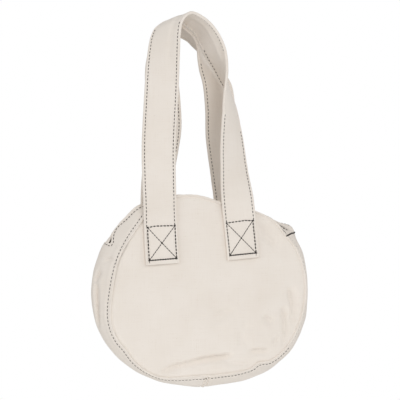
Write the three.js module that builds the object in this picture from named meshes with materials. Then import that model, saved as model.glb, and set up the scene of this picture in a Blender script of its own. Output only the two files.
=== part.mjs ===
// Canvas bag hanging by its two straps. Millimetres, +Z up, front towards -Y, origin where the straps hang.
import * as THREE from "three";

// Cloth and strap sizes
const CANVAS = 1.6; // wall thickness, seam layers taken together
const GAP = 0.4; // clearance between neighbouring pieces
const STRAP_WIDTH = 44;
const STRAP_THICKNESS = 3;
const CANVAS_COLOUR = 0xe5ddd4;

// Body sizes
const BODY_MIDDLE = { x: 8, z: -355 }; // middle of both panels
const PANEL_CROWN = 5; // how far a panel swells past its seam
const MOUTH_HALF_WIDTH = 10; // the slit between the two strips along the top
const MOUTH_MIDDLE = 95; // degrees round the body, past 90 because the bag hangs tilted
const MOUTH_HALF_SPAN = 60; // degrees from the slit's middle to each of its ends

// Mesh fineness
const COLUMNS = 72; // steps round the body
const LIP_STEPS = 4; // steps across a mouth strip, and across each half of the gusset
const RINGS = [0.22, 0.42, 0.58, 0.71, 0.81, 0.89, 0.95, 1]; // panel rings as shares of the seam's radius
const STEPS_PER_ROW = 4; // strap sections for each row of its table
const ACROSS_STRAP = [-0.5, -0.25, 0, 0.25, 0.5]; // points across a strap, as shares of its width

// Seam outline every 20 degrees, from +X towards +Z: seam radius, how far the gusset swells past the seam,
// and how far the seam lies from the bag's middle plane
const OUTLINE = [
  { angle: 0, radius: 133, bulge: 9, halfDepth: 26 },
  { angle: 20, radius: 131, bulge: 10.5, halfDepth: 26 },
  { angle: 40, radius: 126, bulge: 8, halfDepth: 26 },
  { angle: 60, radius: 116.5, bulge: 1, halfDepth: 26 },
  { angle: 80, radius: 116, bulge: -1, halfDepth: 26 },
  { angle: 100, radius: 121.5, bulge: -1, halfDepth: 26 },
  { angle: 120, radius: 128, bulge: 6, halfDepth: 26 },
  { angle: 140, radius: 123.5, bulge: 16.5, halfDepth: 26 },
  { angle: 160, radius: 124.5, bulge: 19.5, halfDepth: 26 },
  { angle: 180, radius: 127, bulge: 20.5, halfDepth: 26 },
  { angle: 200, radius: 136.5, bulge: 13.5, halfDepth: 24 },
  { angle: 220, radius: 137.5, bulge: 9, halfDepth: 22 },
  { angle: 240, radius: 132.5, bulge: 6.5, halfDepth: 22 },
  { angle: 260, radius: 115.5, bulge: 15.5, halfDepth: 24 },
  { angle: 280, radius: 113.5, bulge: 15.5, halfDepth: 26 },
  { angle: 300, radius: 120, bulge: 13, halfDepth: 26 },
  { angle: 320, radius: 130, bulge: 14, halfDepth: 26 },
  { angle: 340, radius: 131.5, bulge: 13, halfDepth: 26 },
];

// Soft folds and dents, each a valley along a straight line on its panel
const FRONT_FOLDS = [
  { fromX: -52, fromZ: -463, toX: 7, toZ: -444, width: 8, depth: 2.5 },
  { fromX: 7, fromZ: -444, toX: 43, toZ: -441, width: 8, depth: 2 },
  { fromX: 67, fromZ: -433, toX: 93, toZ: -433, width: 7, depth: 1.5 },
  { fromX: 117, fromZ: -358, toX: 118, toZ: -412, width: 13, depth: 3 },
  { fromX: 84, fromZ: -283, toX: 112, toZ: -322, width: 12, depth: 2 },
];
const BACK_FOLDS = [
  { fromX: 62, fromZ: -458, toX: -8, toZ: -442, width: 9, depth: 2.5 },
  { fromX: -108, fromZ: -360, toX: -112, toZ: -408, width: 13, depth: 3 },
];

// Strap sections from its left end to its right end: the middle of the section, the heading of its width
// from the outer edge to the inner edge of the loop, how far that width climbs, and how far the section's
// middle bows outwards. Over a panel the strap lies on the panel's face.
const FRONT_STRAP = [
  { x: -53.5, y: -29.5, z: -323, heading: 0, climb: 4, bow: 0 },
  { x: -55.5, y: -29.5, z: -283, heading: 0, climb: 4, bow: 0 },
  { x: -56.5, y: -29.5, z: -243, heading: 0, climb: 3, bow: 0 },
  { x: -57.5, y: -28, z: -176, heading: -8, climb: 0, bow: 0 },
  { x: -52.5, y: -22, z: -106, heading: -16, climb: 0, bow: 0 },
  { x: -47, y: -14.5, z: -46, heading: -36, climb: 0, bow: 0 },
  { x: -42, y: -9.5, z: -23.5, heading: -49, climb: 0, bow: 1 },
  { x: -37, y: -8, z: -13.5, heading: -58, climb: 5, bow: 1.5 },
  { x: -27.5, y: -6, z: -6.5, heading: -71, climb: 6, bow: 2 },
  { x: -14.5, y: -6, z: -4, heading: -88, climb: 9, bow: 2 },
  { x: -6.5, y: -6.5, z: -8, heading: -88, climb: 16, bow: 3 },
  { x: 1.5, y: -6.5, z: -13.5, heading: -82, climb: 15, bow: 4 },
  { x: 9.5, y: -6.5, z: -22, heading: -75, climb: 12, bow: 4 },
  { x: 16.5, y: -7.5, z: -34, heading: -67, climb: 7, bow: 4 },
  { x: 22, y: -7.5, z: -46, heading: -64, climb: 1, bow: 4 },
  { x: 27, y: -6, z: -59.5, heading: -72, climb: -2, bow: 4.5 },
  { x: 32.5, y: -3.5, z: -73.5, heading: -85, climb: -3, bow: 5 },
  { x: 36, y: -3.5, z: -88, heading: -99, climb: -3, bow: 5 },
  { x: 41, y: -6, z: -107, heading: -120, climb: 0, bow: 4 },
  { x: 43.5, y: -9, z: -130, heading: -133, climb: 0, bow: 2.5 },
  { x: 44.5, y: -13.5, z: -165, heading: -148, climb: 0, bow: 1 },
  { x: 46, y: -20.5, z: -205, heading: -161, climb: 0, bow: 0 },
  { x: 47.5, y: -29.5, z: -241, heading: -178, climb: -4, bow: 0 },
  { x: 51.5, y: -29.5, z: -279, heading: -180, climb: -5, bow: 0 },
  { x: 55, y: -29.5, z: -317, heading: -180, climb: -5, bow: 0 },
];
const BACK_STRAP = [
  { x: -45, y: 29.5, z: -323, heading: 0, climb: 0, bow: 0 },
  { x: -45, y: 29.5, z: -283, heading: 0, climb: 0, bow: 0 },
  { x: -45, y: 29.5, z: -243, heading: 0, climb: 0, bow: 0 },
  { x: -44.5, y: 22, z: -203, heading: 0, climb: 0, bow: 0 },
  { x: -38.5, y: 14, z: -152, heading: -5, climb: 0, bow: 0 },
  { x: -40, y: 13, z: -115, heading: -12, climb: 0, bow: 0 },
  { x: -42, y: 17, z: -80, heading: -24, climb: 0, bow: 0 },
  { x: -38.5, y: 24.5, z: -50, heading: -42, climb: 0, bow: 0 },
  { x: -32, y: 31.5, z: -29.5, heading: -64, climb: 0, bow: -1 },
  { x: -20.5, y: 35.5, z: -16.5, heading: -86, climb: 8, bow: -6 },
  { x: -9, y: 35.5, z: -21.5, heading: -95, climb: 8, bow: -8 },
  { x: 1, y: 35.5, z: -28, heading: -97, climb: 5, bow: -8 },
  { x: 7, y: 35.5, z: -36, heading: -100, climb: 1, bow: -8 },
  { x: 13, y: 34.5, z: -46, heading: -110, climb: -2, bow: -6.5 },
  { x: 20.5, y: 31, z: -58, heading: -130, climb: 0, bow: -4 },
  { x: 28, y: 25.5, z: -71, heading: -150, climb: 0, bow: -1.5 },
  { x: 35.5, y: 21.5, z: -90, heading: -166, climb: 0, bow: 0 },
  { x: 39.5, y: 22, z: -123, heading: -170, climb: 0, bow: 0 },
  { x: 41, y: 26.5, z: -162, heading: -165, climb: 0, bow: 0 },
  { x: 47, y: 29, z: -202, heading: -165, climb: 0, bow: 0 },
  { x: 54.5, y: 29.5, z: -241, heading: -178, climb: 0, bow: 0 },
  { x: 56.5, y: 29.5, z: -279, heading: -180, climb: 0, bow: 0 },
  { x: 56.5, y: 29.5, z: -319, heading: -180, climb: 0, bow: 0 },
];

const FULL_TURN = 360;
const UP = new THREE.Vector3(0, 0, 1);
const radians = THREE.MathUtils.degToRad;

// The outline table as one smooth closed curve: x is the radius, y the bulge, z the half depth
const outlineCurve = new THREE.CatmullRomCurve3(
  OUTLINE.map((row) => new THREE.Vector3(row.radius, row.bulge, row.halfDepth)),
  true,
  "catmullrom",
);

function outlineAt(angle) {
  const share = THREE.MathUtils.euclideanModulo(angle, FULL_TURN) / FULL_TURN;
  const point = outlineCurve.getPoint(share);
  return { radius: point.x, bulge: point.y, halfDepth: point.z };
}

// A closed wall between an outer and an inner sheet that share their cells, with an edge wall wherever a
// cell has no neighbour
function thickSheet(outer, inner, cells) {
  const points = [...outer, ...inner];
  const triangles = [];
  const openEdges = new Map();
  const key = (a, b) => `${a}/${b}`;
  const addPolygon = (corners) => {
    for (let i = 1; i + 1 < corners.length; i += 1) {
      triangles.push([corners[0], corners[i], corners[i + 1]]);
    }
  };
  for (const cell of cells) {
    addPolygon(cell);
    addPolygon(cell.map((corner) => corner + outer.length).reverse());
    cell.forEach((from, i) => {
      const to = cell[(i + 1) % cell.length];
      if (!openEdges.delete(key(to, from))) {
        openEdges.set(key(from, to), [from, to]);
      }
    });
  }
  for (const [from, to] of openEdges.values()) {
    addPolygon([to, from, from + outer.length, to + outer.length]);
  }
  const volume = triangles.reduce((sum, [a, b, c]) => {
    const cross = new THREE.Vector3().crossVectors(points[b], points[c]);
    return sum + points[a].dot(cross);
  }, 0);
  const outward = volume > 0 ? triangles : triangles.map(([a, b, c]) => [a, c, b]);
  const geometry = new THREE.BufferGeometry();
  const coordinates = points.flatMap((point) => point.toArray());
  geometry.setAttribute("position", new THREE.Float32BufferAttribute(coordinates, 3));
  geometry.setIndex(outward.flat());
  geometry.computeVertexNormals();
  return geometry;
}

// A long band whose points run across it in rows of the given length
function bandSheet(outer, inner, rowLength) {
  const cells = [];
  for (let row = 0; row + rowLength < outer.length; row += rowLength) {
    for (let corner = row; corner + 1 < row + rowLength; corner += 1) {
      cells.push([corner, corner + 1, corner + rowLength + 1, corner + rowLength]);
    }
  }
  return thickSheet(outer, inner, cells);
}

function foldDepth(folds, x, z) {
  const here = new THREE.Vector3(x, 0, z);
  const nearest = new THREE.Vector3();
  let depth = 0;
  for (const fold of folds) {
    const line = new THREE.Line3(
      new THREE.Vector3(fold.fromX, 0, fold.fromZ),
      new THREE.Vector3(fold.toX, 0, fold.toZ),
    );
    line.closestPointToPoint(here, true, nearest);
    depth += fold.depth * Math.exp(-((here.distanceTo(nearest) / fold.width) ** 2));
  }
  return depth;
}

// How far a panel's outer face stands from the bag's middle plane, and where the point lies in the outline
function panelFace(folds, x, z) {
  const dx = x - BODY_MIDDLE.x;
  const dz = z - BODY_MIDDLE.z;
  const { radius, halfDepth } = outlineAt(THREE.MathUtils.radToDeg(Math.atan2(dz, dx)));
  const share = Math.hypot(dx, dz) / radius;
  const inside = Math.max(0, 1 - share ** 2);
  const middleDepth = OUTLINE[0].halfDepth;
  const depth = THREE.MathUtils.lerp(halfDepth, middleDepth + PANEL_CROWN, inside);
  const rimFade = 1 - Math.min(1, share) ** 8; // folds die out at the seam
  return { share, depth: depth - rimFade * foldDepth(folds, x, z) };
}

// One panel: rings about its middle, facing -Y for the front and +Y for the back
function panelGeometry(side, folds) {
  const outer = [];
  const inner = [];
  const addPoint = (x, z) => {
    const { depth } = panelFace(folds, x, z);
    outer.push(new THREE.Vector3(x, side * depth, z));
    inner.push(new THREE.Vector3(x, side * (depth - CANVAS), z));
  };
  addPoint(BODY_MIDDLE.x, BODY_MIDDLE.z);
  for (const share of RINGS) {
    for (let column = 0; column < COLUMNS; column += 1) {
      const angle = (column * FULL_TURN) / COLUMNS;
      const reach = share * outlineAt(angle).radius;
      addPoint(
        BODY_MIDDLE.x + reach * Math.cos(radians(angle)),
        BODY_MIDDLE.z + reach * Math.sin(radians(angle)),
      );
    }
  }
  const index = (ring, column) => 1 + ring * COLUMNS + (column % COLUMNS);
  const cells = [];
  for (let column = 0; column < COLUMNS; column += 1) {
    cells.push([0, index(0, column), index(0, column + 1)]);
    for (let ring = 0; ring + 1 < RINGS.length; ring += 1) {
      const [near, far] = [ring, ring + 1];
      cells.push([index(near, column), index(far, column), index(far, column + 1), index(near, column + 1)]);
    }
  }
  return thickSheet(outer, inner, cells);
}

// Half the mouth's width as a share of the gusset's half width: a lens that closes at both cross seams
function mouthShare(angle) {
  const fromMiddle = Math.min(1, Math.abs(angle - MOUTH_MIDDLE) / MOUTH_HALF_SPAN);
  const halfWidth = Math.max(GAP, MOUTH_HALF_WIDTH * Math.sqrt(1 - fromMiddle ** 2));
  return halfWidth / OUTLINE[0].halfDepth;
}

function gussetPoint(angle, across) {
  const { radius, bulge, halfDepth } = outlineAt(angle);
  const reach = radius + bulge * (1 - across ** 2);
  const y = across * (halfDepth - CANVAS - GAP);
  return new THREE.Vector3(
    BODY_MIDDLE.x + reach * Math.cos(radians(angle)),
    y,
    BODY_MIDDLE.z + reach * Math.sin(radians(angle)),
  );
}

// The outward normal, from small steps round and across the gusset
function gussetNormal(angle, across) {
  const step = 0.01;
  const round = gussetPoint(angle + step, across).sub(gussetPoint(angle - step, across));
  const over = gussetPoint(angle, across + step).sub(gussetPoint(angle, across - step));
  return round.cross(over).negate().normalize();
}

// One strip of gusset cloth between two angles, spanning the given shares across at each angle
function gussetStrip(fromAngle, toAngle, steps, spanAt) {
  const columns = Math.round((toAngle - fromAngle) / (FULL_TURN / COLUMNS));
  const outer = [];
  const inner = [];
  for (let column = 0; column <= columns; column += 1) {
    const angle = THREE.MathUtils.lerp(fromAngle, toAngle, column / columns);
    const [near, far] = spanAt(angle);
    for (let step = 0; step <= steps; step += 1) {
      const across = THREE.MathUtils.lerp(near, far, step / steps);
      const point = gussetPoint(angle, across);
      outer.push(point);
      inner.push(point.clone().addScaledVector(gussetNormal(angle, across), -CANVAS));
    }
  }
  return bandSheet(outer, inner, steps + 1);
}

// A strap: a flat band carried along its table, laid on its panel at both ends
function strapGeometry(rows, side, folds) {
  const path = new THREE.CatmullRomCurve3(
    rows.map((row) => new THREE.Vector3(row.x, row.y, row.z)),
    false,
    "catmullrom",
  );
  const turns = new THREE.CatmullRomCurve3(
    rows.map((row) => new THREE.Vector3(row.heading, row.climb, row.bow)),
    false,
    "catmullrom",
  );
  const sections = (rows.length - 1) * STEPS_PER_ROW;
  const laidDepth = GAP + STRAP_THICKNESS / 2;
  const outer = [];
  const inner = [];
  for (let section = 0; section <= sections; section += 1) {
    const share = section / sections;
    const middle = path.getPoint(share);
    const turn = turns.getPoint(share);
    const width = new THREE.Vector3(1, 0, 0)
      .applyAxisAngle(new THREE.Vector3(0, -1, 0), radians(turn.y))
      .applyAxisAngle(UP, radians(turn.x));
    const outward = path.getTangent(share).cross(width).multiplyScalar(side).normalize();
    for (const across of ACROSS_STRAP) {
      const bow = turn.z * (1 - (2 * across) ** 2);
      const point = middle.clone().addScaledVector(width, across * STRAP_WIDTH).addScaledVector(outward, bow);
      const face = panelFace(folds, point.x, point.z);
      if (face.share <= 1) {
        point.y = side * Math.max(side * point.y, face.depth + laidDepth);
        outward.set(0, side, 0);
      }
      outer.push(point.clone().addScaledVector(outward, STRAP_THICKNESS / 2));
      inner.push(point.clone().addScaledVector(outward, -STRAP_THICKNESS / 2));
    }
  }
  return bandSheet(outer, inner, ACROSS_STRAP.length);
}

function piece(name, geometry) {
  const canvas = new THREE.MeshStandardMaterial({ color: CANVAS_COLOUR, roughness: 0.9, metalness: 0 });
  const mesh = new THREE.Mesh(geometry, canvas);
  mesh.name = name;
  return mesh;
}

const FRONT = -1;
const BACK = 1;
const MOUTH_START = MOUTH_MIDDLE - MOUTH_HALF_SPAN;
const MOUTH_END = MOUTH_MIDDLE + MOUTH_HALF_SPAN;
const SEAM_GAP = THREE.MathUtils.radToDeg(GAP / OUTLINE[0].radius); // clearance at a cross seam, in degrees

const wholeGusset = () => [-1, 1];
const frontLip = (angle) => [-1, -mouthShare(angle)];
const backLip = (angle) => [mouthShare(angle), 1];

const bag = new THREE.Group();
bag.add(
  piece("front_panel", panelGeometry(FRONT, FRONT_FOLDS)),
  piece("back_panel", panelGeometry(BACK, BACK_FOLDS)),
  piece(
    "gusset",
    gussetStrip(MOUTH_END + SEAM_GAP, MOUTH_START - SEAM_GAP + FULL_TURN, 2 * LIP_STEPS, wholeGusset),
  ),
  piece("front_mouth_strip", gussetStrip(MOUTH_START, MOUTH_END, LIP_STEPS, frontLip)),
  piece("back_mouth_strip", gussetStrip(MOUTH_START, MOUTH_END, LIP_STEPS, backLip)),
  piece("front_strap", strapGeometry(FRONT_STRAP, FRONT, FRONT_FOLDS)),
  piece("back_strap", strapGeometry(BACK_STRAP, BACK, BACK_FOLDS)),
);

export default bag;
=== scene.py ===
import bpy
import math
import random
from mathutils import Matrix, Vector, noise


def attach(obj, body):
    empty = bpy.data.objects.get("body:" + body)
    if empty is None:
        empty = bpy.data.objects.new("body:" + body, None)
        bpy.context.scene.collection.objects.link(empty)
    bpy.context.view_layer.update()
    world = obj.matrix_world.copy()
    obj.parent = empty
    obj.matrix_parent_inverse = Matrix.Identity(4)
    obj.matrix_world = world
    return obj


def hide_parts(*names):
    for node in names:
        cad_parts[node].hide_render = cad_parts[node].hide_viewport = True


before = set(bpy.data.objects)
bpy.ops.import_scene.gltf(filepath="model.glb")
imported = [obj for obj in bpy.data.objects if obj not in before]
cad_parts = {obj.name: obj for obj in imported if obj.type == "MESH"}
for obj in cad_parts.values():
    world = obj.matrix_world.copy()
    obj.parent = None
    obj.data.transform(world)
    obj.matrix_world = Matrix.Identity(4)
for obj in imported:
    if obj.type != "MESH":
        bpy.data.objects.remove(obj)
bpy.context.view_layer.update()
mm = 0.001
front, back = -1, 1
print("frame loaded")


# small tools

def linearColour(code):  # sRGB hex to linear
    parts = [int(code[i:i + 2], 16) / 255 for i in (1, 3, 5)]
    return [p / 12.92 if p <= 0.04045 else ((p + 0.055) / 1.055) ** 2.4 for p in parts] + [1]


def blendSmooth(low, high, value):
    share = min(1, max(0, (value - low) / (high - low)))
    return share * share * (3 - 2 * share)


def plateau(start, full, easing, end, value):  # rises to 1, stays there and falls again
    return blendSmooth(start, full, value) * (1 - blendSmooth(easing, end, value))


def bump(offset, width):
    return math.exp(-(offset / width) ** 2)


def bumps(rows, place):  # rows: place, spread, size
    return sum(size * bump(place - at, spread) for at, spread, size in rows)


def ramps(rows, place):  # rows: where it starts, where it is whole, size
    return sum(size * blendSmooth(start, whole, place) for start, whole, size in rows)


def turnFrom(angle, start):  # degrees from one angle to another, the short way round
    return (angle - start + 180) % 360 - 180


def throughPoints(before, start, end, after, share):  # smooth curve between start and end
    cubic = 3 * (start - end) + after - before
    square = 2 * before - 5 * start + 4 * end - after
    return start + 0.5 * share * (end - before + share * (square + share * cubic))


def roundTable(values, angle):  # a closed table read at any angle
    place = (angle % 360) / 360 * len(values)
    first = math.floor(place)
    near = [values[(first + k) % len(values)] for k in (-1, 0, 1, 2)]
    return throughPoints(*near, place - first)


def openTable(rows, place):  # a table of rows read between its two ends
    first = min(len(rows) - 2, max(0, math.floor(place)))
    start, end = rows[first], rows[first + 1]
    before = rows[first - 1] if first > 0 else 2 * start - end
    after = rows[first + 2] if first + 2 < len(rows) else 2 * end - start
    return throughPoints(before, start, end, after, place - first)


def clothGrid(name, columns, rows, place, lengths):  # a grid whose corners are moved to the cloth's places
    bpy.ops.object.select_all(action="DESELECT")
    bpy.ops.mesh.primitive_grid_add(x_subdivisions=columns, y_subdivisions=rows, size=2)
    cloth = bpy.context.object
    cloth.name = name
    cloth.data.name = name
    cells = []
    for vert in cloth.data.vertices:
        cells.append((round((vert.co.x + 1) / 2 * columns), round((vert.co.y + 1) / 2 * rows)))
    weave = cloth.data.uv_layers.active.data
    for loop in cloth.data.loops:
        weave[loop.index].uv = lengths(*cells[loop.vertex_index])
    for vert, cell in zip(cloth.data.vertices, cells):
        vert.co = Vector(place(*cell)) * mm
    return cloth


def mergeDoubles(distance=0.02):  # of the active piece, distance in mm
    bpy.ops.object.mode_set(mode="EDIT")
    bpy.ops.mesh.select_all(action="SELECT")
    bpy.ops.mesh.remove_doubles(threshold=distance * mm)
    bpy.ops.object.mode_set(mode="OBJECT")


def faceOutwards():  # all faces of the active piece
    bpy.ops.object.mode_set(mode="EDIT")
    bpy.ops.mesh.select_all(action="SELECT")
    bpy.ops.mesh.normals_make_consistent(inside=False)
    bpy.ops.object.mode_set(mode="OBJECT")


def thicken(cloth, thickness):  # the wall grows inwards from the outer face
    wall = cloth.modifiers.new("wall", "SOLIDIFY")
    wall.thickness = thickness * mm
    wall.offset = -1
    bpy.ops.object.modifier_apply(modifier=wall.name)
    bpy.ops.object.shade_smooth_by_angle(angle=math.radians(50))


def place3(middle, angle, reach, y):  # a point at an angle and reach round the bag's middle
    turn = math.radians(angle)
    return Vector((middle[0] + reach * math.cos(turn), y, middle[1] + reach * math.sin(turn)))


# materials

def emptyMaterial(name):
    material = bpy.data.materials.new(name)
    material.use_nodes = True
    material.node_tree.nodes.clear()
    return material


def addNode(tree, kind, settings, links):  # links: input name or number -> the socket that feeds it
    node = tree.nodes.new(kind)
    for name, value in settings.items():
        if hasattr(node, name):
            setattr(node, name, value)
        else:
            node.inputs[name].default_value = value
    for name, source in links.items():
        tree.links.new(source, node.inputs[name])
    return node


canvasLook = {
    "panel": "#efe7de",
    "gusset": "#ede5dc",
    "strap": "#efe7de",
    "slub": "#e3d8cb",  # a thicker or darker thread
    "fleck": "#a9937c",  # specks of seed husk
    "threadPitch": 1.3,  # mm, drawn coarser than the real 0.6 mm so that it shows
    "slubRun": 0.035,  # slubs to the mm along a thread
    "relief": 0.12,  # mm
}


def canvasMaterial(name, colour):
    # natural cotton canvas, plain woven: matt, slightly hairy, with uneven threads and a few husk specks
    material = emptyMaterial(name)
    tree = material.node_tree
    perMm = 1 / mm
    pitch = canvasLook["threadPitch"]
    coord = addNode(tree, "ShaderNodeTexCoord", {}, {})
    cloth = addNode(tree, "ShaderNodeMapping", {"Scale": (perMm, perMm, perMm)},
                    {"Vector": coord.outputs["UV"]})
    warpShape = {"Scale": (1 / pitch, canvasLook["slubRun"], 1)}
    weftShape = {"Scale": (canvasLook["slubRun"], 1 / pitch, 1)}
    slubNoise = {"Scale": 1.0, "Detail": 2.0}
    warpRun = addNode(tree, "ShaderNodeMapping", warpShape, {"Vector": cloth.outputs[0]})
    weftRun = addNode(tree, "ShaderNodeMapping", weftShape, {"Vector": cloth.outputs[0]})
    warpSlub = addNode(tree, "ShaderNodeTexNoise", slubNoise, {"Vector": warpRun.outputs[0]})
    weftSlub = addNode(tree, "ShaderNodeTexNoise", slubNoise, {"Vector": weftRun.outputs[0]})
    slub = addNode(tree, "ShaderNodeMath", {"operation": "ADD"},
                   {0: warpSlub.outputs["Fac"], 1: weftSlub.outputs["Fac"]})
    slubShare = addNode(tree, "ShaderNodeMapRange", {"From Min": 1.05, "From Max": 1.5, "To Max": 0.55},
                        {"Value": slub.outputs[0]})
    cloud = addNode(tree, "ShaderNodeTexNoise", {"Scale": 0.02, "Detail": 3.0}, {"Vector": cloth.outputs[0]})
    cloudShare = addNode(tree, "ShaderNodeMapRange", {"From Min": 0.35, "From Max": 0.75, "To Max": 0.35},
                         {"Value": cloud.outputs["Fac"]})
    tone = addNode(tree, "ShaderNodeMix", {"data_type": "RGBA"}, {0: slubShare.outputs[0]})
    tone.inputs[6].default_value = linearColour(colour)
    tone.inputs[7].default_value = linearColour(canvasLook["slub"])
    clouded = addNode(tree, "ShaderNodeMix", {"data_type": "RGBA"},
                      {0: cloudShare.outputs[0], 6: tone.outputs[2]})
    clouded.inputs[7].default_value = linearColour(canvasLook["slub"])
    speck = addNode(tree, "ShaderNodeTexVoronoi", {"Scale": 0.11}, {"Vector": cloth.outputs[0]})
    speckShare = addNode(tree, "ShaderNodeMapRange", {"From Min": 0.045, "From Max": 0.02, "To Max": 0.5},
                         {"Value": speck.outputs["Distance"]})
    flecked = addNode(tree, "ShaderNodeMix", {"data_type": "RGBA"},
                      {0: speckShare.outputs[0], 6: clouded.outputs[2]})
    flecked.inputs[7].default_value = linearColour(canvasLook["fleck"])
    bands = 2 * math.pi / 20 / pitch  # a wave's scale for one thread to the pitch
    warp = addNode(tree, "ShaderNodeTexWave", {"bands_direction": "X", "Scale": bands, "Distortion": 0.6},
                   {"Vector": cloth.outputs[0]})
    weft = addNode(tree, "ShaderNodeTexWave", {"bands_direction": "Y", "Scale": bands, "Distortion": 0.6},
                   {"Vector": cloth.outputs[0]})
    weave = addNode(tree, "ShaderNodeMath", {"operation": "MULTIPLY"},
                    {0: warp.outputs["Fac"], 1: weft.outputs["Fac"]})
    fuzz = addNode(tree, "ShaderNodeTexNoise", {"Scale": 0.5, "Detail": 4.0}, {"Vector": cloth.outputs[0]})
    height = addNode(tree, "ShaderNodeMath", {"operation": "ADD"},
                     {0: weave.outputs[0], 1: fuzz.outputs["Fac"]})
    relief = addNode(tree, "ShaderNodeBump", {"Strength": 0.35, "Distance": canvasLook["relief"] * mm},
                     {"Height": height.outputs[0]})
    rough = addNode(tree, "ShaderNodeMapRange", {"To Min": 0.86, "To Max": 0.98},
                    {"Value": fuzz.outputs["Fac"]})
    shader = addNode(tree, "ShaderNodeBsdfPrincipled",
                     {"Sheen Weight": 0.12, "Sheen Roughness": 0.6, "Specular IOR Level": 0.2, "IOR": 1.45},
                     {"Base Color": flecked.outputs[2], "Roughness": rough.outputs[0],
                      "Normal": relief.outputs[0]})
    addNode(tree, "ShaderNodeOutputMaterial", {}, {"Surface": shader.outputs[0]})
    return material


threadLook = {
    "dark": "#2b2724",
    "light": "#4a4540",
    # painted highlight: the paler colour given to the ply ridges' tops
    "twist": 0.9,  # mm for one turn of the ply
    "relief": 0.1,  # mm
}


def threadMaterial():
    # spun cotton sewing thread, charcoal: matt, with a painted highlight: its colour turns paler on the
    # ridges where the plies twist
    material = emptyMaterial("spunCottonThread")
    tree = material.node_tree
    coord = addNode(tree, "ShaderNodeTexCoord", {}, {})
    perTwist = 1 / (threadLook["twist"] * mm)
    run = addNode(tree, "ShaderNodeMapping", {"Scale": (perTwist, perTwist, perTwist)},
                  {"Vector": coord.outputs["Object"]})
    plyWave = {"bands_direction": "DIAGONAL", "Scale": 2 * math.pi / 20, "Distortion": 1.0}
    ply = addNode(tree, "ShaderNodeTexWave", plyWave, {"Vector": run.outputs[0]})
    # painted highlight: the wave that raises the ply ridges also turns their colour paler
    tone = addNode(tree, "ShaderNodeMix", {"data_type": "RGBA"}, {0: ply.outputs["Fac"]})
    tone.inputs[6].default_value = linearColour(threadLook["dark"])
    tone.inputs[7].default_value = linearColour(threadLook["light"])
    ridge = addNode(tree, "ShaderNodeBump", {"Strength": 0.4, "Distance": threadLook["relief"] * mm},
                    {"Height": ply.outputs["Fac"]})
    shader = addNode(tree, "ShaderNodeBsdfPrincipled",
                     {"Roughness": 0.85, "Sheen Weight": 0.1, "Specular IOR Level": 0.25},
                     {"Base Color": tone.outputs[2], "Normal": ridge.outputs[0]})
    addNode(tree, "ShaderNodeOutputMaterial", {}, {"Surface": shader.outputs[0]})
    return material


panelCanvas = canvasMaterial("naturalCanvasPanel", canvasLook["panel"])
gussetCanvas = canvasMaterial("naturalCanvasGusset", canvasLook["gusset"])
strapCanvas = canvasMaterial("naturalCanvasStrap", canvasLook["strap"])
cottonThread = threadMaterial()
print("materials made")


# the round outline that panels, gusset and mouth strips share

bagBody = {
    "middle": (8, -355),  # mm, x and z
    # every 20 degrees from +X towards +Z: seam radius, gusset swell past the seam, seam to middle plane
    "radius": [133.5, 131, 126, 116.5, 116, 121.5, 128, 121.5, 122,
               125, 134, 133.5, 129.5, 113.5, 113, 121, 132, 133.5],
    "swell": [9.8, 13.2, 7.5, 1, -1, -1, 6, 18.5, 22, 22.2, 13.6, 9, 5.5, 15.5, 16, 16, 15, 14],
    "halfDepth": [26, 26, 26, 26, 26, 26, 26, 26, 26, 26, 24, 22, 22, 24, 26, 26, 26, 26],
    "kinks": [(305.5, 4, -4.5), (215.5, 5, -2), (163, 14, 1.4), (33, 7, -3)],  # angle, spread, seam's push
    "dips": [(81, 13, -4.6), (262, 13, 1.3)],  # angle, spread, push of seam and gusset
    "fullDepth": 26,
    "canvas": 1.2,  # cloth thickness, mm
}


def outlineAt(angle):
    radius, swell = roundTable(bagBody["radius"], angle), roundTable(bagBody["swell"], angle)
    for kinkAngle, spread, push in bagBody["kinks"]:
        moved = push * bump(turnFrom(angle, kinkAngle), spread)
        radius += moved
        swell -= moved
    for dipAngle, spread, push in bagBody["dips"]:
        radius += push * bump(turnFrom(angle, dipAngle), spread)
    return radius, swell, roundTable(bagBody["halfDepth"], angle)


# panels

panels = {
    "columns": 360,
    "crown": 5,  # the middle stands this far past the seam, mm
    "sway": 1.0,  # slow undulation of the cloth
    "swayRun": 55,
    "ripple": 0.3,  # short undulation
    "rippleRun": 17,
    "pucker": 0.35,  # gathers beside the seam
    "puckerRun": 5.5,
    "puckerReach": 9,
    "groove": 1.0,  # the face dips at the seam
    "grooveWidth": 2.6,
    "grooveDrift": [(45, 35, -0.75), (160, 18, 1.2)],  # angle, spread, share added: flush right, deep left
    "edgeRadius": 1.2,
    "allowance": 6,  # turned-in seam allowance
}
# valleys, steep on the left of their line: width, depth, lift past the gentle side, x and z along it
panelFolds = {
    front: [
        (3.6, 6.5, 1.8, [(-57, -466), (-52, -461), (-40, -455), (-18, -450),
                         (2, -445), (19, -443), (45, -441)]),
        (3.2, 3.4, 1.2, [(26, -450), (70, -453)]),
        (3.4, 5.5, 1.8, [(60, -437), (78, -435), (97, -437)]),
        (3.4, 3.6, 0.8, [(95, -428), (109, -416)]),
        (5.0, 8.0, 1.6, [(121, -410), (124, -391), (123.5, -374), (117, -352)]),
        (4.5, 7.0, 1.4, [(110, -436), (113.5, -414), (113, -396), (108, -378)]),
        (4.5, 2.4, 0.8, [(10, -392), (35, -383), (46, -382)]),
        (3.4, 3.4, 0.8, [(81, -390), (99, -398)]),
        (7.0, 2.0, 0.4, [(52, -436), (53, -418), (50, -399)]),
        (4.0, 1.6, 0.4, [(48, -401), (76, -405)]),
        (8.0, 6.0, 1.2, [(104, -303), (84, -283), (75, -267)]),
        (6.0, 4.5, 0.0, [(-113, -354), (-110, -325), (-101, -290)]),
    ],
    back: [
        (5.0, 2.2, 0.8, [(-60, -452), (-8, -446), (62, -458)]),
        (8.0, 2.4, 0.5, [(-112, -408), (-108, -360)]),
    ],
}
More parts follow.
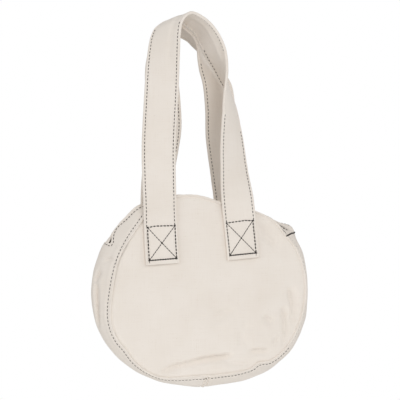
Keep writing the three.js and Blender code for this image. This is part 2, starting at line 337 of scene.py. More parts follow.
foldShape = {
    "reach": 6,  # widths, past which a fold is left out
    "fade": 14,  # mm at each end
    "fadeShare": 0.45,  # or this share of a short fold's length
    "breadth": 1.1,
    "lean": 0.4,  # narrower on the steep side, broader on the gentle one
    "shoulder": 3,  # widths to the lifted cloth beside it
    "shoulderBreadth": 1.5,
}


def foldDepth(folds, x, z):
    depth = 0
    for width, deep, lift, line in folds:
        near, lean, at, run = math.inf, 0, 0, 0
        for (fromX, fromZ), (toX, toZ) in zip(line, line[1:]):
            runX, runZ = toX - fromX, toZ - fromZ
            length = math.hypot(runX, runZ)
            share = ((x - fromX) * runX + (z - fromZ) * runZ) / length ** 2
            share = min(1, max(0, share))
            off = math.hypot(x - fromX - share * runX, z - fromZ - share * runZ)
            if off < near:
                near, at = off, run + share * length
                lean = ((z - fromZ) * runX - (x - fromX) * runZ) / length / max(off, 0.001)
            run += length
        if near < foldShape["reach"] * width:
            fade = min(foldShape["fade"], foldShape["fadeShare"] * run)
            strength = blendSmooth(0, fade, at + 1) * blendSmooth(0, fade, run - at + 1)
            depth += strength * deep * bump(near, width * (foldShape["breadth"] - foldShape["lean"] * lean))
            shoulder = bump(near - foldShape["shoulder"] * width, foldShape["shoulderBreadth"] * width)
            depth -= strength * lift * max(0, -lean) * shoulder
    return depth


def panelDepth(side, x, z):  # the outer face's distance from the middle plane, and its place in the outline
    dx, dz = x - bagBody["middle"][0], z - bagBody["middle"][1]
    angle = math.degrees(math.atan2(dz, dx)) % 360
    radius, _, halfDepth = outlineAt(angle)
    share = math.hypot(dx, dz) / radius
    inside = max(0, 1 - share * share)
    gap = max(0, (1 - share) * radius)
    depth = halfDepth + (bagBody["fullDepth"] + panels["crown"] - halfDepth) * inside
    spot = Vector((x, 40 * side, z))  # each panel's own undulation
    sway = panels["sway"] * noise.noise(spot / panels["swayRun"])
    sway += panels["ripple"] * noise.noise(spot / panels["rippleRun"])
    gather = math.exp(-gap / panels["puckerReach"])
    pucker = panels["pucker"] * gather * noise.noise(spot / panels["puckerRun"])
    fade = 1 - min(1, share) ** 8  # none at the seam
    uneven = 1 + bumps(panels["grooveDrift"], angle)
    groove = uneven * panels["groove"] * bump(gap, panels["grooveWidth"])
    return depth + fade * (sway - foldDepth(panelFolds[side], x, z)) + pucker - groove, share


def panelRings(steps):  # shares of the radius across the face, denser near the seam
    return [1 - (1 - i / steps) ** 1.25 for i in range(steps)]


def makePanel(name, side, node, steps):
    rings = panelRings(steps)
    corners = [15, 45, 75, 90]
    turned = [2, 4, panels["allowance"]]
    rows = len(rings) + len(corners) + len(turned) - 1
    edge = panels["edgeRadius"]

    def place(column, row):
        angle = side * 360 * column / panels["columns"]
        radius = outlineAt(angle)[0]
        flat = radius - edge
        if row < len(rings):
            spot = place3(bagBody["middle"], angle, rings[row] * flat, 0)
            return spot.x, side * panelDepth(side, spot.x, spot.z)[0], spot.z
        rim = place3(bagBody["middle"], angle, flat, 0)
        depth = panelDepth(side, rim.x, rim.z)[0]
        row -= len(rings)
        if row < len(corners):
            turn = math.radians(corners[row])
            reach, drop = flat + edge * math.sin(turn), edge * (1 - math.cos(turn))
        else:
            reach, drop = radius, edge + turned[row - len(corners)]
        return place3(bagBody["middle"], angle, reach, side * (depth - drop))

    def lengths(column, row):
        angle = side * 360 * column / panels["columns"]
        reach = rings[row] if row < len(rings) else 1 + 0.01 * (row - len(rings) + 1)
        spot = place3((0, 0), angle, reach * outlineAt(angle)[0], 0)
        return spot.x * mm, spot.z * mm

    panel = clothGrid(name, panels["columns"], rows, place, lengths)
    mergeDoubles()
    thicken(panel, bagBody["canvas"])
    panel.data.materials.append(panelCanvas)
    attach(panel, "root")
    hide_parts(node)


makePanel("frontPanel", front, "front_panel", 90)
makePanel("backPanel", back, "back_panel", 50)
print("panels made")


# gusset and mouth strips

gussets = {
    "columnsPerDegree": 2,
    "rollRadius": 1.6,  # the gusset's edge rolls over the panel's rim
    "rollInset": 0.9,
    "rollOutset": 0.6,
    "rollRipple": 0.25,
    "bandLift": 1.0,  # seam allowances under the edge lift the cloth
    "bandEnd": (7.0, 9.5),  # mm from the seam
    "stitchGap": 3.4,  # topstitch to seam
    "stitchDrift": [(163, 14, -1.4), (252, 14, 1.5)],  # angle, spread, mm farther from the seam
    "stitchDent": 0.35,
    "dentWidth": 1.1,
    "pucker": 0.45,
    "puckerRun": 5,
    "puckerMiddle": 3,  # mm from the seam
    "puckerReach": 5,
    "sway": 0.8,
    "swayRun": 22,
    "swayReach": 8,  # mm from the seam to most of it
    "mouthMiddle": 93.5,  # degrees
    "mouthHalfSpan": 61.5,
    "mouthHalfWidth": 10,  # mm
    "mouthEndWidth": 0.6,
    "mouthDraw": [(138, 148, 0.75)],  # from angle, to angle, share: the left end gapes less
    "mouthShifts": [(100, 125, 5), (145, 154, 8), (56, 34, 9)],  # from angle, to angle, mm towards the front
    "frontLipCut": [(151, 154, 3)],  # from angle, to angle, mm
    "backLipTuck": [(147, 5.5, 2.4)],  # angle, spread, mm under the front lip at the left end
    "flare": 1.8,  # the front lip turns up at the left
    "flareSpan": (112, 122, 146, 153),  # degrees
    "flareZone": (-0.14, 0, 0.03, 0.2),  # across, from the lip
    "hemStitch": 5.0,  # mm from the lip
    "hemDent": 0.3,
    "hemDentWidth": 0.9,
    "hemWidth": 7.5,
    "hemRadius": 1.3,
    "seamAngle": 270.3,  # the cross seam under the bag
    "seamRun": 2.2,  # mm to a degree there
    "seamRidge": [(0, 1.6, 0.8), (2.2, 1.1, -1.6), (-2.2, 1.1, -1.6)],  # mm from the seam, spread, height
    "weaveRun": 2.35,  # mm of weave to a degree
    "stripWeaveRun": 2.15,
}
lipZones = {front: (-0.95, -0.5, -0.3, 0), back: (-0.3, 0, 0.7, 1)}  # places across that belong to each lip
# where a lip stands up or sinks: angle, spread before and past it, height in mm
leftStands = {
    front: [(131, 5, 8, 4.3), (121, 5, 5, -2.5)],
    back: [(121, 5, 5, -2.5), (144, 7, 7, -9), (132, 8, 8, -5)],
}
rightStands = {
    front: [(31, 2.5, 2.5, 2.6), (40, 4, 4, -2.6)],
    back: [(32, 5, 5, 8)],
}
# valleys like the panels' own: width, depth, lift, angle and place across along the line
gussetFolds = [
    (2.6, 5.0, 0.6, [(175, -0.34), (180, -0.36), (187, -0.385), (193, -0.33), (200, -0.18)]),
    (2.6, 4.2, 0.4, [(168.5, -0.45), (172, -0.37), (177.5, -0.16)]),
    (2.0, 2.4, 0.3, [(161.5, -0.85), (164.8, -0.5)]),
    (6.0, 1.2, 0.0, [(292, -0.68), (334, 0.2)]),
    (6.0, 1.0, 0.0, [(234, -0.5), (266, 0.3)]),
]
degreeRun, acrossRun = 2.4, 26  # mm round the gusset to a degree, and from its middle to a seam
gussetLines = []
for width, depth, lift, line in gussetFolds:
    gussetLines.append((width, depth, lift, [(a * degreeRun, b * acrossRun) for a, b in line]))


def mouthHalf(angle):  # half the mouth's width, mm
    off = min(1, abs(angle - gussets["mouthMiddle"]) / gussets["mouthHalfSpan"])
    drawnIn = 1 - ramps(gussets["mouthDraw"], angle)
    return max(gussets["mouthEndWidth"], drawnIn * gussets["mouthHalfWidth"] * math.sqrt(1 - off * off))


def mouthShift(angle):  # the mouth's ends lie nearer to the front panel, mm
    return ramps(gussets["mouthShifts"], angle)


def lipGap(angle, side):  # cloth from the seam to the mouth's lip
    gap = halfLength(angle) - mouthHalf(angle) + side * mouthShift(angle)
    if side == front:
        return gap - ramps(gussets["frontLipCut"], angle)
    return gap + bumps(gussets["backLipTuck"], angle)


def gussetBase(angle, across):
    radius, swell, halfDepth = outlineAt(angle)
    return place3(bagBody["middle"], angle, radius + swell * (1 - across * across), across * halfDepth)


def gussetNormal(angle, across):
    step = 0.02
    along = gussetBase(angle + step, across) - gussetBase(angle - step, across)
    over = gussetBase(angle, across + step) - gussetBase(angle, across - step)
    return over.cross(along).normalized()


def halfLength(angle):  # cloth from the seam to the gusset's middle line, along a shallow arc
    _, swell, halfDepth = outlineAt(angle)
    return halfDepth * (1 + 0.667 * (swell / halfDepth) ** 2)


def seamGap(angle, side):  # topstitch to seam, the same on both sides
    return gussets["stitchGap"] + bumps(gussets["stitchDrift"], angle)


def lipStand(rows, angle):
    stand = 0
    for at, before, past, height in rows:
        stand += height * bump(angle - at, past if angle > at else before)
    return stand


def gussetLift(angle, across, gap, spot):
    lift = gussets["bandLift"] * (1 - blendSmooth(*gussets["bandEnd"], gap))
    lift -= gussets["stitchDent"] * bump(gap - seamGap(angle, front), gussets["dentWidth"])
    gather = math.exp(-abs(gap - gussets["puckerMiddle"]) / gussets["puckerReach"])
    lift += gussets["pucker"] * gather * noise.noise(spot / gussets["puckerRun"])
    free = 1 - math.exp(-gap / gussets["swayReach"])
    lift += gussets["sway"] * free * noise.noise(spot / gussets["swayRun"])
    lift -= foldDepth(gussetLines, angle * degreeRun, across * acrossRun)
    for side in (front, back):
        stand = lipStand(leftStands[side], angle) + lipStand(rightStands[side], turnFrom(angle, 0))
        lift += plateau(*lipZones[side], across) * stand
    lip = lipGap(angle, front) / halfLength(angle) - 1
    flare = plateau(*[lip + off for off in gussets["flareZone"]], across)
    lift += gussets["flare"] * flare * plateau(*gussets["flareSpan"], angle)
    lift += bumps(gussets["seamRidge"], turnFrom(angle, gussets["seamAngle"]) * gussets["seamRun"])
    return lift


def gussetCloth(angle, side, gap, drop=0):  # a point on the cloth at a gap from the seam, drop below its face
    across = side * (1 - gap / halfLength(angle))
    base = gussetBase(angle, across)
    return base + gussetNormal(angle, across) * (gussetLift(angle, across, gap, base) - drop)


def gussetRoll(angle, side, turn):  # the rolled edge beside the panel
    radius, _, halfDepth = outlineAt(angle)
    spot = place3(bagBody["middle"], angle, radius, side * halfDepth)
    size = gussets["rollRadius"] + gussets["rollRipple"] * noise.noise(spot / gussets["puckerRun"])
    reach = radius + gussets["rollOutset"] + size * math.sin(math.radians(turn))
    y = halfDepth - gussets["rollInset"] + size * math.cos(math.radians(turn))
    return place3(bagBody["middle"], angle, reach, side * y)


rollTurns = [-85, -50, -20, 10, 40, 68]  # rows of the mesh: degrees round the rolled edge
seamGaps = [0.9, 1.7, 2.4, 2.9, 3.4, 3.9, 4.8, 6.2, 7.6]  # mm from the seam
middleSteps = 15  # from there to the middle


def makeGusset():
    startAngle, endAngle = 155, 392
    columns = (endAngle - startAngle) * gussets["columnsPerDegree"]
    half = len(rollTurns) + len(seamGaps) + middleSteps
    rows = 2 * half - 2

    def cell(column, row):
        angle = startAngle + (endAngle - startAngle) * column / columns
        side, place = (back, row) if row < half else (front, rows - row)
        return angle, side, place

    def gapAt(angle, place):
        if place < len(seamGaps):
            return seamGaps[place]
        share = (place - len(seamGaps) + 1) / middleSteps
        return seamGaps[-1] + (halfLength(angle) - seamGaps[-1]) * share

    def place(column, row):
        angle, side, step = cell(column, row)
        if step < len(rollTurns):
            return gussetRoll(angle, side, rollTurns[step])
        return gussetCloth(angle, side, gapAt(angle, step - len(rollTurns)))

    def lengths(column, row):
        angle, side, step = cell(column, row)
        gap = 0.2 * step if step < len(rollTurns) else gapAt(angle, step - len(rollTurns))
        return angle * gussets["weaveRun"] * mm, side * (halfLength(angle) - gap) * mm

    gusset = clothGrid("gussetCloth", columns, rows, place, lengths)
    mergeDoubles()
    thicken(gusset, bagBody["canvas"])
    gusset.data.materials.append(gussetCanvas)
    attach(gusset, "root")
    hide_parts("gusset")


def makeMouthStrip(name, side, node):
    startAngle, endAngle = 32, 155
    columns = (endAngle - startAngle) * gussets["columnsPerDegree"]
    hemGaps = [8.0, 6.6, 5.7, 5.0, 4.3, 2.8, 1.3]  # mm from the lip
    hemTurns = [30, 60, 90, 120, 150, 180]
    inside = [2.5, 4.5, gussets["hemWidth"]]  # mm from the lip, on the turned-in cloth
    rows = len(rollTurns) + len(seamGaps) + len(hemGaps) + len(hemTurns) + len(inside) - 1
    radius = gussets["hemRadius"]

    def cell(column, row):
        angle = startAngle + (endAngle - startAngle) * column / columns
        return angle, rows - row if side == front else row

    def place(column, row):
        angle, step = cell(column, row)
        lip = lipGap(angle, side)
        if step < len(rollTurns):
            return gussetRoll(angle, side, rollTurns[step])
        step -= len(rollTurns)
        if step < len(seamGaps):
            return gussetCloth(angle, side, seamGaps[step])
        step -= len(seamGaps)
        if step < len(hemGaps):
            dent = gussets["hemDent"] * bump(hemGaps[step] - gussets["hemStitch"], gussets["hemDentWidth"])
            return gussetCloth(angle, side, lip - hemGaps[step], dent)
        step -= len(hemGaps)
        if step < len(hemTurns):
            turn = math.radians(hemTurns[step])
            gap = lip - radius + radius * math.sin(turn)
            return gussetCloth(angle, side, gap, radius * (1 - math.cos(turn)))
        return gussetCloth(angle, side, lip - inside[step - len(hemTurns)], 2 * radius)

    def lengths(column, row):
        angle, step = cell(column, row)
        return angle * gussets["stripWeaveRun"] * mm, side * step * mm

    strip = clothGrid(name, columns, rows, place, lengths)
    mergeDoubles()
    thicken(strip, bagBody["canvas"])
    strip.data.materials.append(gussetCanvas)
    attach(strip, "root")
    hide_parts(node)


makeGusset()
makeMouthStrip("frontMouthStrip", front, "front_mouth_strip")
makeMouthStrip("backMouthStrip", back, "back_mouth_strip")
print("gusset and mouth strips made")


# straps

straps = {
    "width": 44,
    "thickness": 3,
    "sections": 330,
    "stitchInset": 3.6,  # edge stitch to strap edge
    "stitchDent": 0.3,
    "edgeRise": 0.6,  # the folded edges stand this far past each face
    "sway": 0.7,
    "swayRun": 30,
    "swayStart": (0.9, 1.1),  # shares of the outline's radius
    "ripple": 0.25,
    "rippleRun": 9,
    "clearance": 0.7,  # strap to panel
    "panelEnd": (0.97, 1.02),  # shares of the outline's radius
    "endRounding": 1.2,  # the ends thin out over this length
    "endShare": 0.25,  # to this share of the thickness
}
archCrease = {  # along the front strap's arch
    "depth": 1.8,
    "width": 2.8,
    "span": (245, 275, 400, 420),  # mm along the strap
    "line": 9.5,  # mm across
    "drift": [(312, 355, 4.5)],  # from length, to length, mm back towards the middle
}
# from the left end to the right: middle x, y, z, heading and climb of the width, outward bow of the middle
strapRoutes = {
    front: [
        (-53.5, -29.5, -323, 0, 4, 0), (-55.5, -29.5, -283, 0, 4, 0), (-56.5, -29.5, -243, 0, 3, 0),
        (-57.5, -28, -176, -8, 0, 0), (-52.5, -22, -106, -16, 0, 0), (-47, -14.5, -46, -36, 0, 0),
        (-42, -9.5, -23.5, -49, 0, 1), (-37, -8, -13.5, -58, 5, 1.5), (-27.5, -6, -6.5, -71, 6, 2),
        (-14.5, -6, -4, -88, 10.5, 2), (-6.5, -6.5, -8, -88, 16, 3), (1.5, -6.5, -13.5, -82, 15, 4),
        (9.5, -6.5, -22, -75, 12, 4), (16.5, -7.5, -34, -67, 7, 4), (22, -7.5, -46, -64, 1, 4),
        (27, -6, -59.5, -72, -2, 4.5), (32.5, -3.5, -73.5, -85, -3, 5), (36, -3.5, -88, -99, -3, 5),
        (41, -6, -107, -120, 0, 4), (43.5, -9, -130, -133, 0, 2.5), (44.5, -13.5, -165, -148, 0, 1),
        (46, -20.5, -205, -161, 0, 0), (47.5, -29.5, -241, -178, -4, 0), (51.5, -29.5, -279, -180, -5, 0),
        (55, -29.5, -317, -180, -5, 0),
    ],
    back: [
        (-45, 29.5, -323, 0, 0, 0), (-45, 29.5, -283, 0, 0, 0), (-45, 29.5, -243, 0, 0, 0),
        (-44.5, 22, -203, 0, 0, 0), (-38.5, 14, -152, -5, 0, 0), (-40, 13, -115, -12, 0, 0),
        (-42, 17, -80, -24, 0, 0), (-38.5, 24.5, -50, -42, 0, 0), (-32, 31.5, -29.5, -64, 0, -1),
        (-20.5, 35.5, -16, -86, 8, -9.5), (-9, 35.5, -21.5, -95, 8, -9), (1, 35.5, -28, -97, 5, -8),
        (7, 35.5, -36, -100, 1, -8), (13, 34.5, -46, -110, -2, -6.5), (20.5, 31, -58, -130, 0, -4),
        (28, 25.5, -71, -150, 0, -1.5), (35.5, 21.5, -90, -166, 0, 0), (39.5, 22, -123, -170, 0, 0),
        (41, 26.5, -162, -165, 0, 0), (47, 29, -202, -165, 0, 0), (54.5, 29.5, -241, -178, 0, 0),
        (56.5, 29.5, -279, -180, 0, 0), (56.5, 29.5, -319, -180, 0, 0),
    ],
}


def strapFrames(side):  # each section's middle, width direction, outward direction and length so far
    rows = [Vector(row) for row in strapRoutes[side]]
    frames = []
    length = 0
    for section in range(straps["sections"] + 1):
        place = (len(rows) - 1) * section / straps["sections"]
        x, y, z, heading, climb, bow = openTable(rows, place)
        ahead, behind = openTable(rows, place + 0.01), openTable(rows, place - 0.01)
        tangent = Vector(ahead[:3]) - Vector(behind[:3])
        turn = Matrix.Rotation(math.radians(heading), 3, "Z") @ Matrix.Rotation(-math.radians(climb), 3, "Y")
        width = turn @ Vector((1, 0, 0))
        outward = (side * tangent.cross(width)).normalized()
        middle = Vector((x, y, z))
        if frames:
            length += (middle - frames[-1]["middle"]).length
        frames.append({"middle": middle, "width": width, "outward": outward, "bow": bow, "length": length})
    return frames


def strapPoint(strapFrame, side, across, height):  # height: outwards from the strap's middle layer
    fromMiddle = 2 * across / straps["width"]
    bow = strapFrame["bow"] * (1 - fromMiddle * fromMiddle)
    length = strapFrame["length"]
    if side == front:
        creaseLine = archCrease["line"] - ramps(archCrease["drift"], length)
        ends = plateau(*archCrease["span"], length)
        bow -= archCrease["depth"] * ends * bump(across - creaseLine, archCrease["width"])
    lean = 4 * strapFrame["bow"] * fromMiddle / straps["width"]  # slope of the bowed face
    spot = strapFrame["middle"] + strapFrame["width"] * across + strapFrame["outward"] * bow
    outward = (strapFrame["outward"] + strapFrame["width"] * lean).normalized()
    depth, share = panelDepth(side, spot.x, spot.z)
    laid = depth + straps["clearance"] + straps["thickness"] / 2
    onPanel = 1 - blendSmooth(*straps["panelEnd"], share)
    if onPanel > 0:
        resting = side * max(side * spot.y, laid)
        spot.y += (resting - spot.y) * onPanel
        outward = outward.lerp(Vector((0, side, 0)), onPanel).normalized()
    free = blendSmooth(*straps["swayStart"], share)
    swayPlace = strapFrame["middle"] / straps["swayRun"] + Vector((side * 9, 0, 0))  # each strap's own
    swing = straps["sway"] * free * noise.noise(swayPlace)
    wrinkle = straps["ripple"] * noise.noise(spot / straps["rippleRun"])
    return spot + outward * (height + swing + wrinkle), outward


def strapLoop():  # the section's outline: across and height, from the outer face round to the inner face
    half, thick = straps["width"] / 2, straps["thickness"] / 2
    line = half - straps["stitchInset"]
    rim = thick + straps["edgeRise"]
    # rows of the mesh, closer beside the stitches
    acrosses = [half - 2.0, half - 2.7, line + 0.5, line, line - 0.7, line - 2.5, 12, 9, 6.5, 4, 0]
    faceLine = [-a for a in acrosses] + acrosses[-2::-1]
    heights = []
    for across in faceLine:
        rise = straps["edgeRise"] * blendSmooth(line + 0.2, line + 1.5, abs(across))
        heights.append(thick + rise - straps["stitchDent"] * bump(abs(across) - line, 0.8))
    loop = list(zip(faceLine, heights))
    for turn in (50, 25, 0, -25, -50):
        loop.append((half - rim + rim * math.cos(math.radians(turn)), rim * math.sin(math.radians(turn))))
    for across, height in reversed(list(zip(faceLine, heights))):
        loop.append((across, -height))
    for turn in (-50, -25, 0, 25, 50):
        loop.append((rim - half - rim * math.cos(math.radians(turn)), rim * math.sin(math.radians(turn))))
    return loop


def makeStrap(name, side, node, frames):
    loop = strapLoop()
    total = frames[-1]["length"]

    def place(section, corner):
        across, height = loop[corner % len(loop)]
        here = frames[section]
        fromEnd = min(here["length"], total - here["length"])
        if fromEnd < straps["endRounding"]:
            share = math.sqrt(1 - (1 - fromEnd / straps["endRounding"]) ** 2)
            height *= straps["endShare"] + (1 - straps["endShare"]) * share
        return strapPoint(here, side, across, height)[0]

    def lengths(section, corner):
        across, height = loop[corner % len(loop)]
        innerShift = 60 if height < 0 else 0  # the inner face has its own part of the weave
        return frames[section]["length"] * mm, (across + innerShift) * mm

    strap = clothGrid(name, straps["sections"], len(loop), place, lengths)
    mergeDoubles(0.005)
    bpy.ops.object.mode_set(mode="EDIT")
    bpy.ops.mesh.select_all(action="SELECT")
    bpy.ops.mesh.fill_holes(sides=0)
    bpy.ops.object.mode_set(mode="OBJECT")
    faceOutwards()
    bpy.ops.object.shade_smooth_by_angle(angle=math.radians(60))
    strap.data.materials.append(strapCanvas)
    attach(strap, "root")
    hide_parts(node)


frontFrames = strapFrames(front)
backFrames = strapFrames(back)
makeStrap("frontStrap", front, "front_strap", frontFrames)
makeStrap("backStrap", back, "back_strap", backFrames)
print("straps made", round(frontFrames[-1]["length"]), round(backFrames[-1]["length"]))


# stitches

stitching = {
    "pitch": 4.6,
    "length": 3.0,
    "thick": 1.0,
    "sink": -0.2,  # below the cloth's face
    "strapSeat": 0.2,  # a strap's stitches lie this much lower
    "flatten": 0.8,
    "slant": 0.06,
    "unevenLength": 0.08,
    "unevenHeight": 0.05,
}


def modelStitch():  # one plump stitch, 1 mm long and 1 mm thick, modelled once and copied
    bpy.ops.object.select_all(action="DESELECT")
    bpy.ops.mesh.primitive_uv_sphere_add(segments=6, ring_count=5, radius=0.5)
    bpy.ops.object.mode_set(mode="EDIT")
    bpy.ops.mesh.select_all(action="SELECT")
    bpy.ops.transform.rotate(value=math.pi / 2, orient_axis="Y", center_override=(0, 0, 0))
    bpy.ops.object.mode_set(mode="OBJECT")
    stitch = bpy.context.object
    points = [vert.co.copy() for vert in stitch.data.vertices]
    faces = [tuple(poly.vertices) for poly in stitch.data.polygons]
    bpy.data.objects.remove(stitch)
    return points, faces


stitchPoints, stitchFaces = modelStitch()


def spaced(path, pitch):  # point, direction and outward at even steps along a path of (point, outward) pairs
    lengths = [0]
    for (here, _), (following, _) in zip(path, path[1:]):
        lengths.append(lengths[-1] + (following - here).length)
    count = max(1, round(lengths[-1] / pitch))
    spots = []
    at = 0
    for i in range(count):
        ends = []
        middle = (i + 0.5) * lengths[-1] / count
        for target in (middle - 0.1, middle + 0.1):
            while at < len(path) - 2 and lengths[at + 1] < target:
                at += 1
            share = (target - lengths[at]) / max(1e-6, lengths[at + 1] - lengths[at])
            ends.append(path[at][0].lerp(path[at + 1][0], share))
        spots.append((ends[0].lerp(ends[1], 0.5), (ends[1] - ends[0]).normalized(), path[at][1]))
    return spots


def sewLine(name, paths, pitch=None, length=None, thick=None, sink=None):
    pitch = pitch or stitching["pitch"]
    length = length or stitching["length"]
    thick = thick or stitching["thick"]
    sink = stitching["sink"] if sink is None else sink
    chance = random.Random(name)
    points, faces = [], []
    for path in paths:
        for spot, along, outward in spaced(path, pitch):
            outward = (outward - along * outward.dot(along)).normalized()
            beside = outward.cross(along)
            slant = chance.uniform(-stitching["slant"], stitching["slant"])
            size = chance.uniform(1 - stitching["unevenLength"], 1 + stitching["unevenLength"])
            height = chance.uniform(-stitching["unevenHeight"], stitching["unevenHeight"]) - sink
            centre = spot + outward * height
            first = len(points)
            for p in stitchPoints:
                run = p.x * length * size
                over = beside * (p.y * thick + run * slant)
                rise = outward * p.z * thick * stitching["flatten"]
                points.append((centre + along * run + over + rise) * mm)
            faces.extend(tuple(first + i for i in face) for face in stitchFaces)
    mesh = bpy.data.meshes.new(name)
    mesh.from_pydata([tuple(p) for p in points], [], faces)
    line = bpy.data.objects.new(name, mesh)
    bpy.context.scene.collection.objects.link(line)
    mesh.materials.append(cottonThread)
    bpy.ops.object.select_all(action="DESELECT")
    bpy.context.view_layer.objects.active = line
    line.select_set(True)
    faceOutwards()
    bpy.ops.object.shade_smooth()
    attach(line, "root")


def gussetPath(fromAngle, toAngle, side, gapAt):
    path = []
    steps = round(abs(toAngle - fromAngle) * 2)
    for i in range(steps + 1):
        angle = fromAngle + (toAngle - fromAngle) * i / steps
        gap = gapAt(angle, side)
        across = side * (1 - gap / halfLength(angle))
        path.append((gussetCloth(angle, side, gap), gussetNormal(angle, across)))
    return path


def crossPath(start, end):  # across the gusset, from an angle and a place across to another
    path = []
    steps = 12
    for i in range(steps + 1):
        angle, across = [a + (b - a) * i / steps for a, b in zip(start, end)]
        gap = halfLength(angle) * (1 - abs(across))
        path.append((gussetCloth(angle, front if across < 0 else back, gap), gussetNormal(angle, across)))
    return path


def hemGap(angle, side):
    return lipGap(angle, side) - gussets["hemStitch"]


def atLength(frames, length):
    index = max(0, min(len(frames) - 2, sum(1 for f in frames if f["length"] <= length) - 1))
    start, end = frames[index], frames[index + 1]
    share = (length - start["length"]) / (end["length"] - start["length"])
    return {key: start[key] + (end[key] - start[key]) * share for key in start}


def strapPath(frames, side, corners, face=1):  # corners: (length along, across); face 1 outer, -1 inner
    path = []
    height = face * (straps["thickness"] / 2 - stitching["strapSeat"])
    for (fromLength, fromAcross), (toLength, toAcross) in zip(corners, corners[1:]):
        steps = max(2, round(math.hypot(toLength - fromLength, toAcross - fromAcross) / 2))
        for i in range(steps + 1):
            share = i / steps
            here = atLength(frames, fromLength + (toLength - fromLength) * share)
            across = fromAcross + (toAcross - fromAcross) * share
            spot, outward = strapPoint(here, side, across, height)
            path.append((spot, outward * face))
    return path


sewLine("frontSeamStitches", [gussetPath(122, 227, front, seamGap), gussetPath(267, 325, front, seamGap)])
sewLine("frontLowStitches", [gussetPath(227, 267, front, seamGap)], length=3.6, thick=0.8, sink=-0.1)
sewLine("frontTightStitches", [gussetPath(325, 482, front, seamGap)], thick=0.6, sink=0.15)  # pulled tight
sewLine("backSeamStitches", [gussetPath(0, 360, back, seamGap)], thick=0.7, sink=0.1)
sewLine("frontHemStitches", [gussetPath(33, 156.4, front, hemGap)])
sewLine("backHemStitches", [gussetPath(33, 140, back, hemGap)], thick=0.7, sink=0.15)
sewLine("mouthEndStitches", [crossPath((156.4, -0.54), (156, -0.14))])
sewLine("mouthBarTack", [crossPath((31.9, -0.99), (28.6, 0.05))], pitch=1.4, length=2.6, thick=2.2)
sewLine("mouthCornerStitches", [gussetPath(33.2, 36.4, front, seamGap)], pitch=2.2, length=2.4, thick=0.9)

crossBox = {
    "start": 6,  # mm from the strap's end
    "end": 48,
    "half": 18,
    "shift": 0.8,  # off the strap's middle
    "kink": 1.2,  # the far side bends outwards
    "kinkPlace": 0.4,
    "knot": 0.8,
    "tail": 3.4,
    "tailSlant": 0.3,
}
# where the edge stitches are pulled tight, mm along the strap, by (outer edge, outer face)
edgeRuns = {
    front: {
        (True, True): [(306, 505)], (False, True): [(313, 484)],
        (True, False): [(300, 394)], (False, False): [(400, 500)],
    },
    back: {
        (True, True): [(300, 390)], (False, True): [],
        (True, False): [(395, 445)], (False, False): [(300, 385)],
    },
}


def stitchRuns(total, tightRuns, proud, tight):  # the strap's length in turn proud and tight
    runs = []
    at = crossBox["end"]
    for fromLength, toLength in tightRuns:
        runs.append((at, fromLength, proud))
        runs.append((fromLength, toLength, tight))
        at = toLength
    runs.append((at, total - crossBox["end"], proud))
    return runs


for sideName, side, frames in (("front", front, frontFrames), ("back", back, backFrames)):
    total = frames[-1]["length"]
    boxes, heavy, crosses, knots, tails = [], [], [], [], []
    edge = straps["width"] / 2 - straps["stitchInset"]
    proud, tight = [], []
    for across in (-edge, edge):
        for face in (1, -1):
            tightRuns = edgeRuns[side][across < 0, face > 0]
            for fromLength, toLength, lines in stitchRuns(total, tightRuns, proud, tight):
                lines.append(strapPath(frames, side, [(fromLength, across), (toLength, across)], face))
    low, high = crossBox["shift"] - crossBox["half"], crossBox["shift"] + crossBox["half"]
    leftBox = crossBox["start"], crossBox["end"]
    rightBox = total - crossBox["start"], total - crossBox["end"]
    for near, far in (leftBox, rightBox):
        outwards = 1 if far > near else -1
        kink = (far + outwards * crossBox["kink"], crossBox["kinkPlace"] * low)
        top = [(far, high), kink, (far, low)]
        boxes.append(strapPath(frames, side, [(near, high)] + top + [(near, low)]))
        heavy.append(strapPath(frames, side, [(near, low), (near, high)]))
        crosses.append(strapPath(frames, side, [(near, low), (far, high)]))
        crosses.append(strapPath(frames, side, [(near, high), (far, low)]))
        centre = ((near + far) / 2, crossBox["shift"])
        for length, across in ((near, low), (near, high), (far, low), (far, high), centre):
            ends = [(length - crossBox["knot"], across), (length + crossBox["knot"], across)]
            knots.append(strapPath(frames, side, ends))
        tailEnd = (near - outwards * crossBox["tail"], low + crossBox["tailSlant"])
        tails.append(strapPath(frames, side, [(near, low), tailEnd]))
    sewLine(sideName + "StrapStitches", proud)
    sewLine(sideName + "TightStitches", tight, thick=0.6, sink=0.3)
    sewLine(sideName + "BoxStitches", boxes, pitch=4.4, length=3.9, thick=1.7)
    sewLine(sideName + "EndStitches", heavy, pitch=3.2, length=4.2, thick=1.9)
    sewLine(sideName + "CrossStitches", crosses, pitch=3.8, length=3.9, thick=1.15)
    sewLine(sideName + "ThreadTails", tails, pitch=1.7, length=2.2, thick=0.7)
    sewLine(sideName + "Knots", knots, pitch=1.5, length=2.6, thick=2.5)
print("stitches made")


# floor, light and camera

studio = {
    "floorHeight": -1500,  # mm
    "floorRadius": 0.8,  # m
    "photoAngle": 16,  # the camera stands this far round to the left
    "target": (5.0, -1.4, -241),  # mm
    "distance": 2.4,  # m
    "lens": 166,  # mm
}


def floorMaterial():
    # matt white painted board, very slightly mottled
    material = emptyMaterial("paintedBoard")
    tree = material.node_tree
    coord = addNode(tree, "ShaderNodeTexCoord", {}, {})
    mottle = addNode(tree, "ShaderNodeTexNoise", {"Scale": 9.0}, {"Vector": coord.outputs["Object"]})
    tone = addNode(tree, "ShaderNodeMix", {"data_type": "RGBA"}, {0: mottle.outputs["Fac"]})
    tone.inputs[6].default_value = linearColour("#f4f3f1")
    tone.inputs[7].default_value = linearColour("#fafaf9")
    shader = addNode(tree, "ShaderNodeBsdfPrincipled", {"Roughness": 0.9}, {"Base Color": tone.outputs[2]})
    addNode(tree, "ShaderNodeOutputMaterial", {}, {"Surface": shader.outputs[0]})
    return material


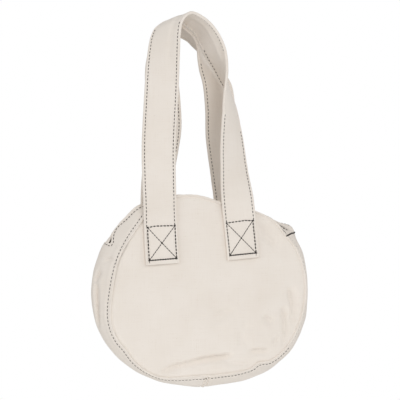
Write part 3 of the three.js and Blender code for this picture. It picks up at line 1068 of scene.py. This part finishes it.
bpy.ops.object.select_all(action="DESELECT")
bpy.ops.mesh.primitive_circle_add(vertices=96, radius=studio["floorRadius"], fill_type="NGON",
                                  location=(0, 0, studio["floorHeight"] * mm))
floor = bpy.context.object
floor.name = "floor"
floor.data.materials.append(floorMaterial())

world = bpy.data.worlds.new("studioLight")
bpy.context.scene.world = world
world.use_nodes = True
worldTree = world.node_tree
worldTree.nodes.clear()
raySort = addNode(worldTree, "ShaderNodeLightPath", {}, {})
brightness = addNode(worldTree, "ShaderNodeMapRange", {"To Min": 0.46, "To Max": 1.0},
                     {"Value": raySort.outputs["Is Camera Ray"]})
whiteRoom = addNode(worldTree, "ShaderNodeBackground", {"Color": (1, 1, 1, 1)},
                    {"Strength": brightness.outputs[0]})
addNode(worldTree, "ShaderNodeOutputWorld", {}, {"Surface": whiteRoom.outputs[0]})


def addLight(name, place, target, size, power):
    light = bpy.data.lights.new(name, "AREA")
    light.shape = "DISK"
    light.size = size
    light.energy = power
    lamp = bpy.data.objects.new(name, light)
    lamp.location = place
    lamp.rotation_euler = (Vector(target) - Vector(place)).to_track_quat("-Z", "Y").to_euler()
    bpy.context.scene.collection.objects.link(lamp)


bagCentre = (0, 0, -0.3)
addLight("frontLight", (-0.1, -2.1, 0.15), bagCentre, 1.2, 8)
addLight("leftLight", (-1.8, -0.8, 0.1), bagCentre, 1.4, 9.6)
addLight("rightLight", (1.6, -1.0, 0.1), bagCentre, 1.4, 6.4)
addLight("lowLight", (-0.05, -0.4, -1.3), bagCentre, 0.8, 2.7)
addLight("topLight", (0.3, -1.5, 1.0), bagCentre, 0.8, 4.2)
addLight("backLight", (-0.5, 2.0, 0.5), bagCentre, 1.4, 5)

target = Vector(studio["target"]) * mm
turn = math.radians(studio["photoAngle"])
cameraData = bpy.data.cameras.new("photoCamera")
cameraData.lens = studio["lens"]
cameraData.sensor_width = 36
camera = bpy.data.objects.new("photoCamera", cameraData)
camera.location = target + Vector((-math.sin(turn), -math.cos(turn), 0)) * studio["distance"]
camera.rotation_euler = (target - camera.location).to_track_quat("-Z", "Y").to_euler()
bpy.context.scene.collection.objects.link(camera)
bpy.context.scene.camera = camera
bpy.context.scene.view_settings.view_transform = "Standard"
print("studio set")
